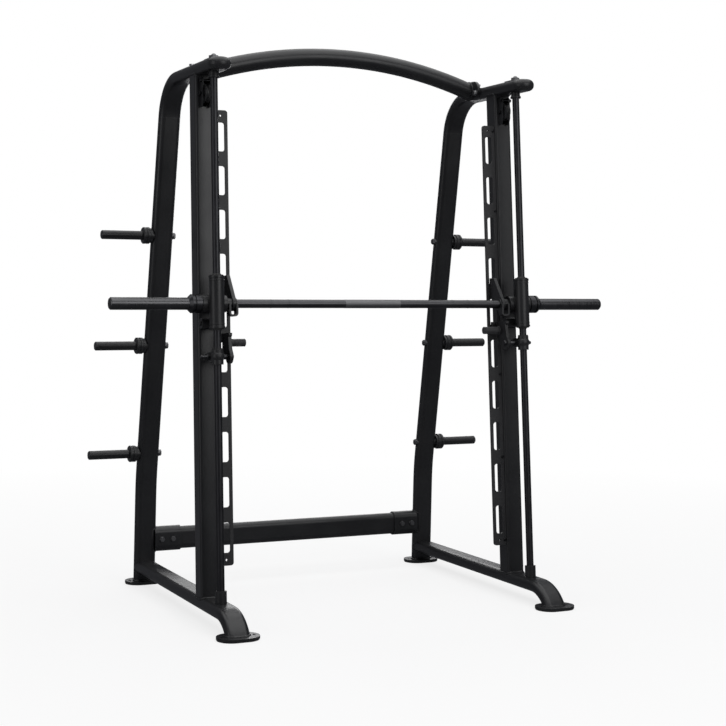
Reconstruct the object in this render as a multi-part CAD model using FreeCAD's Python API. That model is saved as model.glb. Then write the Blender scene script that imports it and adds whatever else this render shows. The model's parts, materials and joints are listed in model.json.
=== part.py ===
import FreeCAD, Part
import math
import os

# Smith machine. Millimetres, +X to the user's right, +Y to the rear, +Z up.
# Origin: on the floor, midway between the two side frames and midway between the front and rear feet.

V = FreeCAD.Vector
X_AXIS = V(1, 0, 0)
Y_AXIS = V(0, 1, 0)
Z_AXIS = V(0, 0, 1)
ORIGIN = V(0, 0, 0)

# Side frames: flat oval tube, wide side across the machine
frame_half_spacing = 700.0
foot_half_spacing = 610.0
tube_wide = 96.0
tube_thick = 50.0
tube_corner = 24.0
tube_wall = 3.0
side_inner = frame_half_spacing - tube_wide / 2

# Feet
pad_thick = 4.0
plate_thick = 10.0
foot_top = pad_thick + plate_thick
foot_length = 170.0
foot_width = 122.0
foot_hole = 14.0
foot_hole_spacing = 130.0

# Base tube
base_axis_z = 75.0
base_top = base_axis_z + tube_thick / 2
front_bend_radius = 160.0
front_bend_start = -478.0

# Rear leg and top tube
leg_foot_y = 608.5
leg_low_lean = 2.3
leg_high_lean = 10.34
leg_knee_z = 462.0
leg_knee_radius = 900.0
top_axis_z = 2218.0
top_bend_radius = 182.0
top_front_y = -390.0

# Mast: everything that leans with the guide rods. Measured from the rod's foot.
mast_lean = 3.78
rod_foot_y = -418.0
rod_diameter = 30.0
rod_full_length = 2150.0
collar_diameter = 46.0
collar_neck_diameter = 39.0
collar_flange_thick = 7.0
base_collar_top = 47.0
top_collar_bottom = 2073.0
cap_plate_wide = 44.0
cap_plate_front = 30.0
cap_plate_back = 56.0
cap_plate_thick = 5.0
cap_nut_across = 36.0
cap_nut_thick = 10.0
cap_dome_radius = 12.0

# Upright: square tube behind the rod
upright_size = 80.0
upright_corner = 12.0
upright_wall = 4.0
upright_front = 116.0
upright_centre = upright_front + upright_size / 2
upright_inner = frame_half_spacing - upright_size / 2

# Racking plate: slotted bar beside the upright
rack_inner = 599.0
rack_front = 126.0
rack_thick = 8.0
rack_margin = 110.5
slot_count = 10
slot_pitch = 180.0
slot_first = 237.0
slot_centre = 628.6
slot_wide = 33.0
slot_tall = 120.0
slot_corner = 11.0
lug_bolt_x = 652.0
lug_offset = 88.0
lug_half_tall = 18.0
lug_half_wide = 8.0
lug_thick = 14.0
lug_bolt_diameter = 8.0
lug_hole_diameter = 8.6
plate_end_hole = 9.0

# Counterbalance
wheel_radius = 40.0
groove_radius = 35.0
wheel_width = 22.0
wheel_y = 104.0
wheel_z = 2030.0
wheel_axle_diameter = 12.0
wheel_hole_count = 5
wheel_hole_radius = 21.0
wheel_hole_diameter = 12.0
cheek_inside = 14.0
cheek_thick = 6.0
guard_y = 91.0
guard_z = wheel_z + 49
guard_diameter = 8.0
weight_size = 56.0
weight_bottom = 1000.0
weight_length = 400.0

# Weight horns on the rear legs
horn_heights = (585.0, 1070.0, 1555.0)
horn_diameter = 39.0
horn_spigot_diameter = 30.0
horn_tip_x = 972.0
horn_chamfer = 4.0
horn_collar_diameter = 73.0
horn_collar_length = 40.0
horn_neck_diameter = 42.0

# Rear beam
beam_z = 194.8
beam_tall = 100.0
beam_half_length = 640.0
socket_inner_x = 538.0
socket_outer_x = 660.0
socket_gap = 0.6
socket_wall = 5.0
beam_bolt_xs = (577.0, 629.0)
beam_hole_diameter = 13.0

# Arch tube
arch_y = 36.5
arch_diameter = 76.0
arch_wall = 3.0
arch_top_z = 2338.5
arch_radius = 1950.0
flange_x = 641.0
flange_thick = 12.0
flange_bolt_offset = 62.0

# Carriage and barbell
housing_diameter = 60.0
housing_bottom = 1069.0
housing_length = 208.0
bar_back = 44.0
bar_height = 1169.0
barrel_diameter = 70.0
barrel_inner = 650.0
barrel_outer = 752.0
housing_flange_diameter = 64.0
housing_flange_thick = 8.0
linear_bearing_diameter = 45.0
linear_bearing_length = 64.0
needle_bearing_diameter = 42.0
needle_bearing_length = 20.0
needle_bearing_inset = 5.0
anchor_back = 76.0
anchor_inner = 655.0
anchor_outer = 742.0
anchor_diameter = 42.0
fit_gap = 0.05
bar_diameter = 35.0
bar_half_length = 1122.5
sleeve_diameter = 49.5
sleeve_plug = 18.0
shoulder_start = 753.0
shoulder_end = 806.0
shoulder_diameter = 76.0
hook_inner = 612.0
hook_outer = 626.0
hook_clearance = 4.0
nose_inner = 611.0
nose_outer = 645.0
stirrup_inner = 606.0
stirrup_outer = 644.0
stirrup_front = -34.0
stirrup_back = -2.0
stirrup_drop = 52.0
stirrup_wall = 8.0
stirrup_corner = 13.0

# Safety stops
stop_heights = {"left": 958.0, "right": 1001.0}
stop_diameter = 46.0
stop_ball_diameter = 54.0
stop_half_height = 32.0
bumper_thick = 6.0
shaft_back = 36.0
shaft_diameter = 24.0
shaft_inner = 622.0
shaft_outer = 746.0
lever_inner = 630.0
lever_outer = 644.0
lever_lobe_diameter = 56.0
handle_end = 552.0
handle_back = 49.0
handle_up = 56.0
handle_radius = 16.0
handle_corner = 3.0

SIDES = {"left": -1, "right": 1}


def rounded_wire(wide, deep, corner):
    """A rounded rectangle in the XY plane, centred on the origin."""
    a = wide / 2 - corner
    b = deep / 2 - corner
    corners = ((a, b, 0), (-a, b, 90), (-a, -b, 180), (a, -b, 270))
    edges = []
    ends = []
    for cx, cy, start in corners:
        arc = Part.Arc(Part.Circle(V(cx, cy, 0), Z_AXIS, corner), math.radians(start), math.radians(start + 90))
        edges.append(arc.toShape())
        ends.append((arc.StartPoint, arc.EndPoint))
    sides = []
    for k in range(4):
        here = ends[k][1]
        there = ends[(k + 1) % 4][0]
        if here.distanceToPoint(there) > 0.001:
            sides.append(Part.LineSegment(here, there).toShape())
    return Part.Wire(Part.__sortEdges__(edges + sides))


def hollow_face(outer, inner):
    """The flat ring between two closed wires."""
    return Part.Face(outer).cut(Part.Face(inner)).Faces[0]


def tube_face(wide, deep, corner, wall):
    """The section of a tube, or of a solid bar where wall is 0."""
    outer = rounded_wire(wide, deep, corner)
    if wall == 0:
        return Part.Face(outer)
    return hollow_face(outer, rounded_wire(wide - 2 * wall, deep - 2 * wall, corner - wall))


def bent_tube(x, y, z, heading, steps, wall):
    """A flat oval tube bent in the YZ plane. heading is the angle from +Y towards +Z, in degrees.
    A step is (length, 0) for a straight run or (radius, turn) for a bend towards the left."""
    pieces = []
    for size, turn in steps:
        face = tube_face(tube_wide, tube_thick, tube_corner, wall)
        face.rotate(ORIGIN, X_AXIS, heading - 90)
        face.translate(V(x, y, z))
        direction = V(0, math.cos(math.radians(heading)), math.sin(math.radians(heading)))
        if turn == 0:
            pieces.append(face.extrude(direction * size))
            y += direction.y * size
            z += direction.z * size
        else:
            centre = V(x, y - direction.z * size, z + direction.y * size)
            pieces.append(face.revolve(centre, X_AXIS, turn))
            heading += turn
            y = centre.y + size * math.sin(math.radians(heading))
            z = centre.z - size * math.cos(math.radians(heading))
    return joined(pieces)


def joined(pieces):
    """One solid from pieces that touch or overlap."""
    whole = pieces[0]
    if len(pieces) > 1:
        whole = whole.fuse(pieces[1:])
    return whole.removeSplitter()


def box(x0, x1, y0, y1, z0, z1):
    return Part.makeBox(x1 - x0, y1 - y0, z1 - z0, V(x0, y0, z0))


def rod_x(x0, x1, y, z, diameter):
    return Part.makeCylinder(diameter / 2, x1 - x0, V(x0, y, z), X_AXIS)


def rod_y(x, y0, y1, z, diameter):
    return Part.makeCylinder(diameter / 2, y1 - y0, V(x, y0, z), Y_AXIS)


def rod_z(x, y, z0, z1, diameter):
    return Part.makeCylinder(diameter / 2, z1 - z0, V(x, y, z0), Z_AXIS)


def hexagon(centre, axis, across, thick):
    """A hexagonal head or nut that starts at centre and grows along axis."""
    points = []
    for k in range(7):
        angle = math.radians(60 * k)
        points.append(V(across / math.sqrt(3) * math.cos(angle), across / math.sqrt(3) * math.sin(angle), 0))
    head = Part.Face(Part.makePolygon(points)).extrude(V(0, 0, thick))
    head = head.common(Part.makeSphere(across * 0.72, V(0, 0, thick * 0.1)))
    head.Placement = FreeCAD.Placement(centre, FreeCAD.Rotation(Z_AXIS, axis))
    return head


def stadium(length, width, thick):
    """A plate with half-round ends along X, centred on the origin, with its underside at Z = 0."""
    half = length / 2 - width / 2
    middle = box(-half, half, -width / 2, width / 2, 0, thick)
    return joined([middle, rod_z(-half, 0, 0, thick, width), rod_z(half, 0, 0, thick, width)])


def turned(points, centre_x, y, z):
    """A turned piece on an axis along X. points are (distance along X, radius), and the last meets the axis."""
    profile = Part.makePolygon([V(px, 0, pr) for px, pr in points + [points[0]]])
    piece = Part.Face(profile).revolve(ORIGIN, X_AXIS, 360)
    piece.translate(V(centre_x, y, z))
    return piece


def extruded_yz(points, x0, x1):
    """A plate between x0 and x1 whose outline is given in the YZ plane."""
    outline = [V(x0, py, pz) for py, pz in points + [points[0]]]
    return Part.Face(Part.makePolygon(outline)).extrude(V(x1 - x0, 0, 0))


def on_mast(shape):
    """Leans a shape that was drawn in the mast's own upright frame, with the rod on its Z axis."""
    placed = shape.copy()
    lean = FreeCAD.Placement(V(0, rod_foot_y, base_top), FreeCAD.Rotation(X_AXIS, -mast_lean))
    placed.Placement = lean.multiply(placed.Placement)
    return placed


def handed(shape, side):
    """The right-hand shape itself, or its mirror image on the left."""
    if SIDES[side] > 0:
        return shape
    return shape.mirror(ORIGIN, X_AXIS)


def save(name, shapes):
    """Writes one node. Several solids stay separate solids."""
    solids = [solid for shape in shapes for solid in shape.Solids]
    whole = solids[0] if len(solids) == 1 else Part.makeCompound(solids)
    whole.exportStep("parts/" + name + ".step")


def save_sides(name, shapes):
    """Writes one node for each side from shapes drawn on the right."""
    for side in SIDES:
        save(name + "_" + side, [handed(shape, side) for shape in shapes])


def save_both(name, shapes):
    """Writes one node that holds the pieces of both sides."""
    save(name, [handed(shape, side) for side in SIDES for shape in shapes])


# ---------------------------------------------------------------- side frame

def base_tube_shape(wall):
    run = leg_foot_y - front_bend_start
    tube = bent_tube(
        frame_half_spacing, leg_foot_y, base_axis_z, 180, ((run, 0), (front_bend_radius, 60)), wall
    )
    return tube.cut(box(0, 1000, -1000, 0, -100, foot_top))


def leg_steps():
    knee = leg_knee_radius * math.tan(math.radians(leg_high_lean - leg_low_lean) / 2)
    bend = top_bend_radius * math.tan(math.radians(90 - leg_high_lean) / 2)
    lower = leg_knee_z / math.cos(math.radians(leg_low_lean)) - knee
    upper = (top_axis_z - leg_knee_z) / math.cos(math.radians(leg_high_lean)) - knee - bend
    return lower, upper, bend


def rear_leg_shape(wall):
    lower, upper, bend = leg_steps()
    steps = ((lower, 0), (leg_knee_radius, leg_high_lean - leg_low_lean), (upper, 0))
    leg = bent_tube(frame_half_spacing, leg_foot_y, 0, 90 + leg_low_lean, steps, wall)
    return leg.cut(box(0, 1000, 0, 1000, -100, foot_top))


def leg_y(height):
    """Where the rear leg's centre line is at a height."""
    low = leg_foot_y - min(height, leg_knee_z) * math.tan(math.radians(leg_low_lean))
    return low - max(height - leg_knee_z, 0) * math.tan(math.radians(leg_high_lean))


def top_tube_shape(wall):
    bend = leg_steps()[2]
    corner_y = leg_y(top_axis_z)
    start_y = corner_y + bend * math.sin(math.radians(leg_high_lean))
    start_z = top_axis_z - bend * math.cos(math.radians(leg_high_lean))
    nose_y = top_front_y + tube_wide / 2
    run = corner_y - bend - nose_y
    steps = ((top_bend_radius, 90 - leg_high_lean), (run, 0))
    tube = bent_tube(frame_half_spacing, start_y, start_z, 90 + leg_high_lean, steps, wall)
    section = tube_face(tube_wide, tube_thick, tube_corner, wall)
    section.rotate(ORIGIN, X_AXIS, 90)
    half = section.common(box(0, tube_wide, -1, 1, -tube_thick, tube_thick)).Faces[0]
    nose = half.revolve(ORIGIN, Z_AXIS, -180)
    nose.translate(V(frame_half_spacing, nose_y, top_axis_z))
    return joined([tube, nose])


def upright_shape():
    """Square tube, drawn on the mast and cut to sit between the base tube and the top tube."""
    tube = tube_face(upright_size, upright_size, upright_corner, upright_wall).extrude(V(0, 0, 2200))
    tube.translate(V(frame_half_spacing, upright_centre, -20))
    slot_half = wheel_width / 2 + 3
    slot = box(
        frame_half_spacing - slot_half, frame_half_spacing + slot_half,
        upright_front - 10, upright_front + upright_wall + 10,
        wheel_z - wheel_radius, wheel_z + wheel_radius + 20,
    )
    slot_end = rod_y(
        frame_half_spacing, upright_front - 10, upright_front + upright_wall + 10,
        wheel_z - wheel_radius, 2 * slot_half,
    )
    return on_mast(tube.cut(joined([slot, slot_end])))


def racking_plate_shape():
    bottom = slot_first - rack_margin
    top = slot_first + (slot_count - 1) * slot_pitch + rack_margin
    plate = box(rack_inner, upright_inner, rack_front, rack_front + rack_thick, bottom, top)
    upright_edges = [
        edge for edge in plate.Edges
        if abs(edge.BoundBox.XMax - rack_inner) < 0.01 and edge.BoundBox.YLength > rack_thick - 0.1
    ]
    plate = plate.makeFillet(12, upright_edges)
    cutters = []
    for k in range(slot_count):
        cutter = Part.Face(rounded_wire(slot_wide, slot_tall, slot_corner)).extrude(V(0, 0, 40))
        cutter.rotate(ORIGIN, X_AXIS, 90)
        cutter.translate(V(slot_centre, rack_front + 30, slot_first + k * slot_pitch))
        cutters.append(cutter)
    for height in (bottom + rack_margin - lug_offset, top - rack_margin + lug_offset):
        cutters.append(rod_y(slot_centre, rack_front - 5, rack_front + 20, height, plate_end_hole))
    for height in lug_heights():
        cutters.append(rod_y(lug_bolt_x, rack_front - 5, rack_front + 20, height, lug_hole_diameter))
    return on_mast(plate.cut(cutters))


def lug_heights():
    heights = [slot_first - lug_offset]
    heights += [slot_first + (k + 0.5) * slot_pitch for k in (1, 3, 5, 7)]
    heights.append(slot_first + (slot_count - 1) * slot_pitch + lug_offset)
    return heights


def plate_lugs():
    """Small welded blocks on the upright that the racking plate is bolted to."""
    lugs = []
    for height in lug_heights():
        back = rack_front + rack_thick
        lug = box(
            lug_bolt_x - lug_half_wide, upright_inner, back, back + lug_thick,
            height - lug_half_tall, height + lug_half_tall,
        )
        hole = rod_y(lug_bolt_x, back - 1, back + lug_thick + 1, height, lug_hole_diameter)
        lugs.append(on_mast(lug.cut(hole)))
    return lugs


def plate_bolts():
    """Button-head bolts with nuts behind the lugs."""
    bolts = []
    across = 13
    lug_back = rack_front + rack_thick + lug_thick
    for height in lug_heights():
        head = rod_y(lug_bolt_x, rack_front - 4.5, rack_front, height, across)
        head = head.common(Part.makeSphere(8.2, V(lug_bolt_x, rack_front + 3.5, height)))
        shank = rod_y(lug_bolt_x, rack_front - 1, lug_back + 8, height, lug_bolt_diameter)
        nut = hexagon(V(lug_bolt_x, lug_back, height), Y_AXIS, across, 6.5)
        bolts.append(on_mast(joined([head, shank, nut])))
    return bolts


def guide_rod_shape():
    return on_mast(rod_z(frame_half_spacing, 0, -10, rod_full_length, rod_diameter))


def rod_collars(base, top):
    """Turned collars that hold the rod's ends, shaped to the tubes that they sit on."""
    lower = rod_z(frame_half_spacing, 0, -20, base_collar_top, collar_diameter)
    neck = rod_z(frame_half_spacing, 0, top_collar_bottom, rod_full_length, collar_neck_diameter)
    flange = rod_z(frame_half_spacing, 0, top_collar_bottom, top_collar_bottom + collar_flange_thick,
                   collar_diameter)
    bore = rod_z(frame_half_spacing, 0, -30, rod_full_length + 10, rod_diameter)
    lower = on_mast(lower.cut(bore)).cut(base)
    upper = on_mast(joined([flange, neck]).cut(bore)).cut(top)
    return [largest(lower), largest(upper)]


def largest(shape):
    return max(shape.Solids, key=lambda solid: solid.Volume)


def rod_caps():
    """Washer plate, nut and domed end on top of the top tube, over the rod."""
    x = frame_half_spacing
    y = rod_foot_y + (top_axis_z - base_top) * math.tan(math.radians(mast_lean)) + 1
    z = top_axis_z + tube_thick / 2
    nut_z = z + cap_plate_thick
    dome_z = nut_z + cap_nut_thick - 3
    half = cap_plate_wide / 2
    plate = box(x - half, x + half, y - cap_plate_front, y + cap_plate_back, z, nut_z)
    nut = hexagon(V(x, y, nut_z), Z_AXIS, cap_nut_across, cap_nut_thick)
    dome = Part.makeSphere(cap_dome_radius, V(x, y, dome_z)).common(
        box(x - half, x + half, y - half, y + half, dome_z, dome_z + 2 * cap_dome_radius)
    )
    return [joined([plate, nut, dome])]


def foot_plates():
    plates = []
    for y in (-foot_half_spacing, foot_half_spacing):
        plate = stadium(foot_length, foot_width, plate_thick)
        for x in (-foot_hole_spacing / 2, foot_hole_spacing / 2):
            plate = plate.cut(rod_z(x, 0, -1, plate_thick + 1, foot_hole))
        plate.translate(V(frame_half_spacing, y, pad_thick))
        plates.append(plate)
    return plates


def foot_pads():
    pads = []
    for y in (-foot_half_spacing, foot_half_spacing):
        pad = stadium(foot_length - 4, foot_width - 4, pad_thick)
        for x in (-foot_hole_spacing / 2, foot_hole_spacing / 2):
            pad = pad.cut(rod_z(x, 0, -1, pad_thick + 1, foot_hole))
        pad.translate(V(frame_half_spacing, y, 0))
        pads.append(pad)
    return pads


# ---------------------------------------------------------------- horns, beam and arch

def weight_horns(leg):
    """Plain round horns with a chamfered tip. A thinner spigot goes through the collar into the leg."""
    start = frame_half_spacing + 10
    collar_face = frame_half_spacing + tube_wide / 2 + horn_collar_length - start
    length = horn_tip_x - start
    radius = horn_diameter / 2
    spigot_radius = horn_spigot_diameter / 2
    points = [
        (0, 0), (0, spigot_radius), (collar_face, spigot_radius), (collar_face, radius),
        (length - horn_chamfer, radius), (length, radius - horn_chamfer), (length, 0),
    ]
    return [largest(turned(points, start, leg_y(height), height).cut(leg)) for height in horn_heights]


def horn_collars(leg):
    """Stepped collars at the root of each horn, which keep the plates off the leg."""
    outer = frame_half_spacing + tube_wide / 2 + horn_collar_length
    inner_radius = horn_spigot_diameter / 2
    outer_radius = horn_collar_diameter / 2
    neck_radius = horn_neck_diameter / 2
    back = -horn_collar_length
    points = [
        (back - 20, inner_radius), (back - 20, neck_radius), (back, neck_radius), (back, outer_radius - 4),
        (back + 10, outer_radius - 4), (back + 12, outer_radius), (-17, outer_radius),
        (-16, outer_radius - 3), (-12, outer_radius - 3), (-11, outer_radius), (-3, outer_radius),
        (0, outer_radius - 3), (0, inner_radius),
    ]
    return [largest(turned(points, outer, leg_y(height), height).cut(leg)) for height in horn_heights]


def horn_bolts(leg):
    """Hex bolt heads on the inner side of the rear leg, one through to each horn."""
    bolts = []
    for height in horn_heights:
        washer = rod_x(side_inner - 3, frame_half_spacing - 30, leg_y(height), height, 30)
        head = hexagon(V(side_inner - 3, leg_y(height), height), V(-1, 0, 0), 24, 9)
        bolts.append(largest(joined([washer, head]).cut(leg)))
    return bolts


def rear_beam_shape():
    face = tube_face(beam_tall, tube_thick, tube_corner, tube_wall)
    face.rotate(ORIGIN, Y_AXIS, 90)
    beam = face.extrude(V(2 * beam_half_length, 0, 0))
    beam.translate(V(-beam_half_length, leg_y(beam_z), beam_z))
    holes = [
        rod_y(sign * x, leg_y(beam_z) - 60, leg_y(beam_z) + 60, beam_z, beam_hole_diameter)
        for sign in (-1, 1) for x in beam_bolt_xs
    ]
    return beam.cut(holes)


def beam_socket_shape(leg):
    grow = 2 * (socket_gap + socket_wall)
    outer = rounded_wire(beam_tall + grow, tube_thick + grow, tube_corner + socket_gap + socket_wall)
    inner = rounded_wire(beam_tall + 2 * socket_gap, tube_thick + 2 * socket_gap, tube_corner + socket_gap)
    face = hollow_face(outer, inner)
    face.rotate(ORIGIN, Y_AXIS, 90)
    socket = face.extrude(V(socket_outer_x - socket_inner_x, 0, 0))
    socket.translate(V(socket_inner_x, leg_y(beam_z), beam_z))
    holes = [
        rod_y(x, leg_y(beam_z) - 60, leg_y(beam_z) + 60, beam_z, beam_hole_diameter)
        for x in beam_bolt_xs
    ]
    return largest(socket.cut([leg] + holes))


def beam_bolts():
    """Bolts across the socket and the beam, with a washer, head and nut."""
    bolts = []
    half = tube_thick / 2 + socket_gap + socket_wall
    y = leg_y(beam_z)
    for x in beam_bolt_xs:
        pieces = [
            rod_y(x, y - half - 2, y - half, beam_z, 24),
            hexagon(V(x, y - half - 2, beam_z), V(0, -1, 0), 19, 8),
            rod_y(x, y - half - 4, y + half + 18, beam_z, 12),
            rod_y(x, y + half, y + half + 2, beam_z, 24),
            hexagon(V(x, y + half + 2, beam_z), Y_AXIS, 19, 10),
        ]
        bolts.append(joined(pieces))
    return bolts


def arch_tube_shape():
    """Round tube on one large arc, cut square at the two flanges."""
    half_angle = math.degrees(math.asin((flange_x + 20) / arch_radius))
    centre = V(0, arch_y, arch_top_z - arch_radius)
    outer = Part.Wire(Part.makeCircle(arch_diameter / 2, V(0, arch_y, arch_top_z), X_AXIS))
    inner = Part.Wire(Part.makeCircle(arch_diameter / 2 - arch_wall, V(0, arch_y, arch_top_z), X_AXIS))
    face = hollow_face(outer, inner)
    face.rotate(centre, Y_AXIS, -half_angle)
    arch = face.revolve(centre, Y_AXIS, 2 * half_angle)
    return arch.common(box(-flange_x, flange_x, arch_y - 100, arch_y + 100, 1900, 2500))


def arch_end_z():
    return arch_top_z - arch_radius + math.sqrt(arch_radius ** 2 - flange_x ** 2)


def arch_flange_shape(top):
    """Oval flange between the arch's end and the inner side of the top tube."""
    flange = stadium(168, 84, 40)
    flange.rotate(ORIGIN, Z_AXIS, 90)
    flange.rotate(ORIGIN, Y_AXIS, 90)
    flange.translate(V(flange_x, arch_y, arch_end_z()))
    plate = flange.common(box(flange_x, flange_x + flange_thick, -500, 500, 2000, 2400))
    saddle = flange.common(box(flange_x, flange_x + 40, -500, 500, top_axis_z - 22, top_axis_z + 22))
    holes = [
        rod_x(flange_x - 1, flange_x + 60, arch_y + dy, top_axis_z, 12)
        for dy in (-flange_bolt_offset, flange_bolt_offset)
    ]
    return largest(joined([plate, saddle]).cut([top] + holes))


def arch_bolts(top):
    """Two bolts through each flange and a clamping bolt that stands on top of the tube."""
    bolts = []
    for dy in (-flange_bolt_offset, flange_bolt_offset):
        pieces = [
            rod_x(flange_x - 3, flange_x, arch_y + dy, top_axis_z, 24),
            hexagon(V(flange_x - 3, arch_y + dy, top_axis_z), V(-1, 0, 0), 19, 8),
            rod_x(flange_x - 4, flange_x + 30, arch_y + dy, top_axis_z, 12),
        ]
        bolts.append(largest(joined(pieces).cut(top)))
    x = frame_half_spacing - 14
    y = arch_y - 4
    z = top_axis_z + tube_thick / 2
    washer = rod_z(x, y, z, z + 3, 26)
    stem = rod_z(x, y, z + 2, z + 16, 12)
    head = hexagon(V(x, y, z + 15), Z_AXIS, 24, 8)
    bolts.append(joined([washer, stem, head]))
    return bolts


# ---------------------------------------------------------------- counterbalance

def pulley_shape():
    half = wheel_width / 2
    bore = wheel_axle_diameter / 2 + fit_gap
    points = [
        (-half, bore), (-half, wheel_radius), (-half + 4, wheel_radius), (-3, groove_radius),
        (3, groove_radius), (half - 4, wheel_radius), (half, wheel_radius), (half, bore),
    ]
    wheel = turned(points, frame_half_spacing, wheel_y, wheel_z)
    holes = []
    for k in range(wheel_hole_count):
        angle = 2 * math.pi * k / wheel_hole_count
        y = wheel_y + wheel_hole_radius * math.cos(angle)
        z = wheel_z + wheel_hole_radius * math.sin(angle)
        start = frame_half_spacing - half - 1
        holes.append(rod_x(start, start + wheel_width + 2, y, z, wheel_hole_diameter))
    return on_mast(wheel.cut(holes))


def pulley_bracket():
    """Two cheeks welded to the front of the upright."""
    cheeks = []
    front = wheel_y - 20
    outline = [
        (upright_front, wheel_z - 58), (upright_front, wheel_z + 62), (front + 6, wheel_z + 62),
        (front, wheel_z + 56), (front, wheel_z - 30), (front + 12, wheel_z - 58),
    ]
    for sign in (-1, 1):
        near = frame_half_spacing + sign * cheek_inside
        far = frame_half_spacing + sign * (cheek_inside + cheek_thick)
        cheek = extruded_yz(outline, min(near, far), max(near, far))
        low = min(near, far) - 1
        high = max(near, far) + 1
        axle_hole = rod_x(low, high, wheel_y, wheel_z, wheel_axle_diameter)
        guard_hole = rod_x(low, high, guard_y, guard_z, guard_diameter)
        cheeks.append(on_mast(cheek.cut([axle_hole, guard_hole])))
    return cheeks


def pulley_bolts():
    """The wheel's axle bolt and a guard bolt that keeps the cable in its groove."""
    reach = cheek_inside + cheek_thick
    bolts = []
    sizes = ((wheel_y, wheel_z, wheel_axle_diameter, 19), (guard_y, guard_z, guard_diameter, 13))
    for y, z, diameter, across in sizes:
        left = frame_half_spacing - reach
        right = frame_half_spacing + reach
        pieces = [
            rod_x(left - 2, right + 2, y, z, diameter),
            hexagon(V(left, y, z), V(-1, 0, 0), across, 7),
            hexagon(V(right, y, z), X_AXIS, across, 8),
        ]
        bolts.append(on_mast(joined(pieces)))
    return bolts


def counterweight_shape():
    bar = Part.Face(rounded_wire(weight_size, weight_size, 6)).extrude(V(0, 0, weight_length))
    bar.translate(V(frame_half_spacing, upright_centre, weight_bottom))
    eye = rod_z(frame_half_spacing, upright_centre, weight_bottom + weight_length,
                weight_bottom + weight_length + 26, 14)
    return on_mast(joined([bar, eye]))


# ---------------------------------------------------------------- carriage

def housing_shape():
    """Rod housing with an end flange at each end and the bar's bearing barrel across its rear side."""
    housing_top = housing_bottom + housing_length
    body = rod_z(frame_half_spacing, 0, housing_bottom, housing_top, housing_diameter)
    flanges = [
        rod_z(frame_half_spacing, 0, low, low + housing_flange_thick, housing_flange_diameter)
        for low in (housing_bottom, housing_top - housing_flange_thick)
    ]
    barrel = rod_x(barrel_inner, barrel_outer, bar_back, bar_height, barrel_diameter)
    web = box(
        frame_half_spacing - 12, frame_half_spacing + 12, 0, bar_back,
        bar_height - 62, bar_height + 62,
    )
    rod_bore = rod_z(frame_half_spacing, 0, housing_bottom - 1, housing_top + 1, linear_bearing_diameter)
    seat = needle_bearing_inset + needle_bearing_length
    bar_bore = [
        rod_x(barrel_inner - 1, barrel_outer + 1, bar_back, bar_height, bar_diameter + 2),
        rod_x(barrel_inner - 1, barrel_inner + seat, bar_back, bar_height, needle_bearing_diameter),
        rod_x(barrel_outer - seat, barrel_outer + 1, bar_back, bar_height, needle_bearing_diameter),
    ]
    return on_mast(joined([body, barrel, web] + flanges).cut([rod_bore] + bar_bore))


def linear_bearings():
    bearings = []
    top = housing_bottom + housing_length
    for low in (housing_bottom + 4, top - 4 - linear_bearing_length):
        outer = rod_z(frame_half_spacing, 0, low, low + linear_bearing_length, linear_bearing_diameter)
        bore = rod_z(frame_half_spacing, 0, low - 1, low + linear_bearing_length + 1,
                     rod_diameter + 2 * fit_gap)
        bearings.append(on_mast(outer.cut(bore)))
    return bearings


def bar_bearings():
    bearings = []
    seats = (
        barrel_inner + needle_bearing_inset,
        barrel_outer - needle_bearing_inset - needle_bearing_length,
    )
    for inner in seats:
        outer = rod_x(inner, inner + needle_bearing_length, bar_back, bar_height, needle_bearing_diameter)
        bore = rod_x(inner - 1, inner + needle_bearing_length + 1, bar_back, bar_height,
                     bar_diameter + 2 * fit_gap)
        bearings.append(on_mast(outer.cut(bore)))
    return bearings


def cable_anchor_shape():
    """Arm behind the housing that the counterbalance cable pulls on, with a cross boss."""
    z = housing_bottom + 23
    arm = box(frame_half_spacing - 14, frame_half_spacing + 14, 10, anchor_back, z - 15, z + 15)
    boss = rod_x(anchor_inner, anchor_outer, anchor_back, z, anchor_diameter)
    pin = rod_x(anchor_outer, anchor_outer + 8, anchor_back, z, anchor_diameter / 2)
    body = rod_z(frame_half_spacing, 0, housing_bottom - 1, housing_bottom + housing_length, housing_diameter)
    flange = rod_z(frame_half_spacing, 0, housing_bottom, housing_bottom + housing_flange_thick,
                   housing_flange_diameter)
    return on_mast(largest(joined([arm, boss, pin]).cut([body, flange])))


# ---------------------------------------------------------------- barbell

def bar_shape():
    reach = bar_half_length - sleeve_plug
    return on_mast(rod_x(-reach, reach, bar_back, bar_height, bar_diameter))


def sleeve_shape():
    bore = bar_diameter / 2
    radius = sleeve_diameter / 2
    length = bar_half_length - shoulder_end
    points = [
        (0, bore), (0, radius), (length - 3, radius), (length, radius - 3),
        (length, 0), (length - sleeve_plug, 0), (length - sleeve_plug, bore),
    ]
    return on_mast(turned(points, shoulder_end, bar_back, bar_height))


def shoulder_shape():
    """Turned shoulder that the plates stop against."""
    bore = bar_diameter / 2
    radius = shoulder_diameter / 2
    length = shoulder_end - shoulder_start
    points = [
        (0, bore), (0, radius - 2), (2, radius), (length - 27, radius), (length - 25, radius - 4),
        (length - 22, radius - 4), (length - 20, radius), (length - 12, radius),
        (length, sleeve_diameter / 2 + 2), (length, bore),
    ]
    return on_mast(turned(points, shoulder_start, bar_back, bar_height))


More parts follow.
